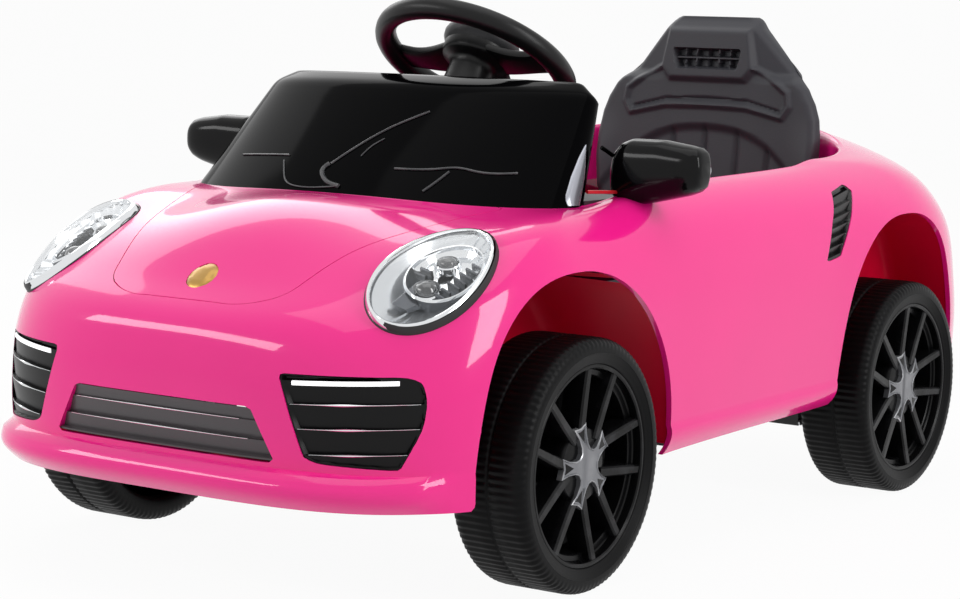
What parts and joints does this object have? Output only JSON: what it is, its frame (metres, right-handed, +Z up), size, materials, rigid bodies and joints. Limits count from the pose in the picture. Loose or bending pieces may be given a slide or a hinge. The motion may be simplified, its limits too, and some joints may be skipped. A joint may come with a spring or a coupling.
{
  "type": "electric ride-on car",
  "caption": "Child's electric ride-on sports car: pink moulded shell, bucket seat, steered front wheels, geared rear drive, lamps and mirrors.",
  "frame": {"origin": "on the floor, at the middle of the whole car's box", "axes": "+Z up, the car faces -Y, its left side is +X"},
  "size_m": [0.538, 1.024, 0.4681],
  "materials": {
    "body_pink": "gloss moulded plastic",
    "badge": "gold-coloured plastic",
    "black_trim": "satin black plastic",
    "lamp_white": "frosted white plastic",
    "lamp_red": "clear red plastic",
    "lamp_silver": "vacuum-metallised plastic",
    "clear_lens": "clear moulded plastic",
    "screen_black": "gloss black plastic",
    "mirror_face": "polished",
    "seat_grey": "grained dark grey plastic",
    "chassis_black": "grained black plastic",
    "steel": "zinc plated",
    "grip_black": "satin black plastic",
    "button_red": "gloss plastic",
    "gear_white": "natural nylon",
    "tyre_black": "satin moulded tyre",
    "rim_black": "gloss black plastic"
  },
  "bodies": {
    "root": {"body_shell": "body_pink", "nose_badge": "badge", "lower_grille": "black_trim", "fog_grilles": "black_trim", "day_lamps": "lamp_white", "side_vents": "black_trim", "tail_lamps": "lamp_red", "rear_valance": "black_trim", "headlamp_rims": "lamp_silver", "headlamp_cups": "lamp_silver", "headlamp_lenses": "clear_lens", "windscreen": "screen_black", "mirror_left": "screen_black", "mirror_right": "screen_black", "mirror_glasses": "mirror_face", "chassis_tray": "chassis_black", "front_axle_beam": "steel", "kingpins": "steel", "beam_screws": "steel", "column_bracket": "steel", "dashboard": "black_trim", "seat_pan": "seat_grey", "charge_socket": "chassis_black", "seat_back": "seat_grey", "battery": "chassis_black", "control_box": "chassis_black", "wiring_leads": "chassis_black", "gearbox_case": "chassis_black", "gearbox_cover": "chassis_black", "gearbox_screws": "steel", "drive_motor": "steel", "rear_axle": "steel", "rear_axle_nuts": "steel", "pedal_bracket": "chassis_black"},
    "steering": {"steering_column": "steel", "steering_wheel": "grip_black", "steering_pad": "grip_black"},
    "horn_left": {"horn_button_left": "button_red"},
    "horn_right": {"horn_button_right": "button_red"},
    "knuckle_left": {"knuckle_left": "steel"},
    "knuckle_right": {"knuckle_right": "steel"},
    "tie_rod": {"tie_rod": "steel"},
    "idler": {"idler_gear": "gear_white"},
    "motor_shaft": {"motor_pinion": "gear_white"},
    "pedal": {"pedal": "grip_black"},
    "power_button": {"power_button": "button_red"},
    "direction_switch": {"direction_switch": "button_red"},
    "wheel_front_left": {"tyre_front_left": "tyre_black", "rim_front_left": "rim_black", "hub_cap_front_left": "lamp_silver"},
    "wheel_front_right": {"tyre_front_right": "tyre_black", "rim_front_right": "rim_black", "hub_cap_front_right": "lamp_silver"},
    "wheel_rear_left": {"tyre_rear_left": "tyre_black", "rim_rear_left": "rim_black", "hub_cap_rear_left": "lamp_silver", "drive_gear": "gear_white"},
    "wheel_rear_right": {"tyre_rear_right": "tyre_black", "rim_rear_right": "rim_black", "hub_cap_rear_right": "lamp_silver"}
  },
  "joints": [
    {"name": "steering_turn", "type": "hinge", "parent": "root", "child": "steering", "pos_m": [0, -0.086, 0.409], "axis": [0, 0.5399, 0.8417], "range_deg": [-25, 25]},
    {"name": "kingpin_left", "type": "hinge", "parent": "root", "child": "knuckle_left", "pos_m": [0.15, -0.281, 0.1], "axis": [0, 0, 1], "range_deg": [-25, 25]},
    {"name": "kingpin_right", "type": "hinge", "parent": "root", "child": "knuckle_right", "pos_m": [-0.15, -0.281, 0.1], "axis": [0, 0, 1], "range_deg": [-25, 25]},
    {"name": "tie_rod_pivot", "type": "hinge", "parent": "knuckle_left", "child": "tie_rod", "pos_m": [0.15, -0.243, 0.097], "axis": [0, 0, 1], "range_deg": [-25, 25]},
    {"name": "wheel_front_left_spin", "type": "hinge", "parent": "knuckle_left", "child": "wheel_front_left", "pos_m": [0.218, -0.281, 0.1], "axis": [1, 0, 0], "continuous": true},
    {"name": "wheel_front_right_spin", "type": "hinge", "parent": "knuckle_right", "child": "wheel_front_right", "pos_m": [-0.218, -0.281, 0.1], "axis": [1, 0, 0], "continuous": true},
    {"name": "wheel_rear_left_spin", "type": "hinge", "parent": "root", "child": "wheel_rear_left", "pos_m": [0.218, 0.281, 0.1], "axis": [1, 0, 0], "continuous": true},
    {"name": "wheel_rear_right_spin", "type": "hinge", "parent": "root", "child": "wheel_rear_right", "pos_m": [-0.218, 0.281, 0.1], "axis": [1, 0, 0], "continuous": true},
    {"name": "idler_spin", "type": "hinge", "parent": "root", "child": "idler", "pos_m": [0.14, 0.25625, 0.12475], "axis": [1, 0, 0], "continuous": true},
    {"name": "motor_spin", "type": "hinge", "parent": "root", "child": "motor_shaft", "pos_m": [0.13, 0.23504, 0.14596], "axis": [1, 0, 0], "continuous": true},
    {"name": "pedal_press", "type": "hinge", "parent": "root", "child": "pedal", "pos_m": [-0.069, -0.11, 0.093], "axis": [1, 0, 0], "range_deg": [0, 12], "stiffness_Nm_per_rad": 1.5, "springref_deg": -5.73},
    {"name": "power_press", "type": "slide", "parent": "root", "child": "power_button", "axis": [0, -1, 0], "range_m": [0, 0.003], "stiffness_N_per_m": 300, "springref_m": -0.002},
    {"name": "direction_rock", "type": "hinge", "parent": "root", "child": "direction_switch", "pos_m": [-0.12, -0.131, 0.26351], "axis": [1, 0, 0], "range_deg": [-15, 15]},
    {"name": "horn_left_press", "type": "slide", "parent": "steering", "child": "horn_left", "axis": [0, -0.5399, -0.8417], "range_m": [0, 0.002], "stiffness_N_per_m": 300, "springref_m": -0.002},
    {"name": "horn_right_press", "type": "slide", "parent": "steering", "child": "horn_right", "axis": [0, -0.5399, -0.8417], "range_m": [0, 0.002], "stiffness_N_per_m": 300, "springref_m": -0.002}
  ],
  "couplings": [
    {"joint": "kingpin_left", "follows": "steering_turn", "ratio": 1},
    {"joint": "kingpin_right", "follows": "steering_turn", "ratio": 1},
    {"joint": "tie_rod_pivot", "follows": "steering_turn", "ratio": -1},
    {"joint": "idler_spin", "follows": "wheel_rear_left_spin", "ratio": -4},
    {"joint": "motor_spin", "follows": "wheel_rear_left_spin", "ratio": 16}
  ]
}
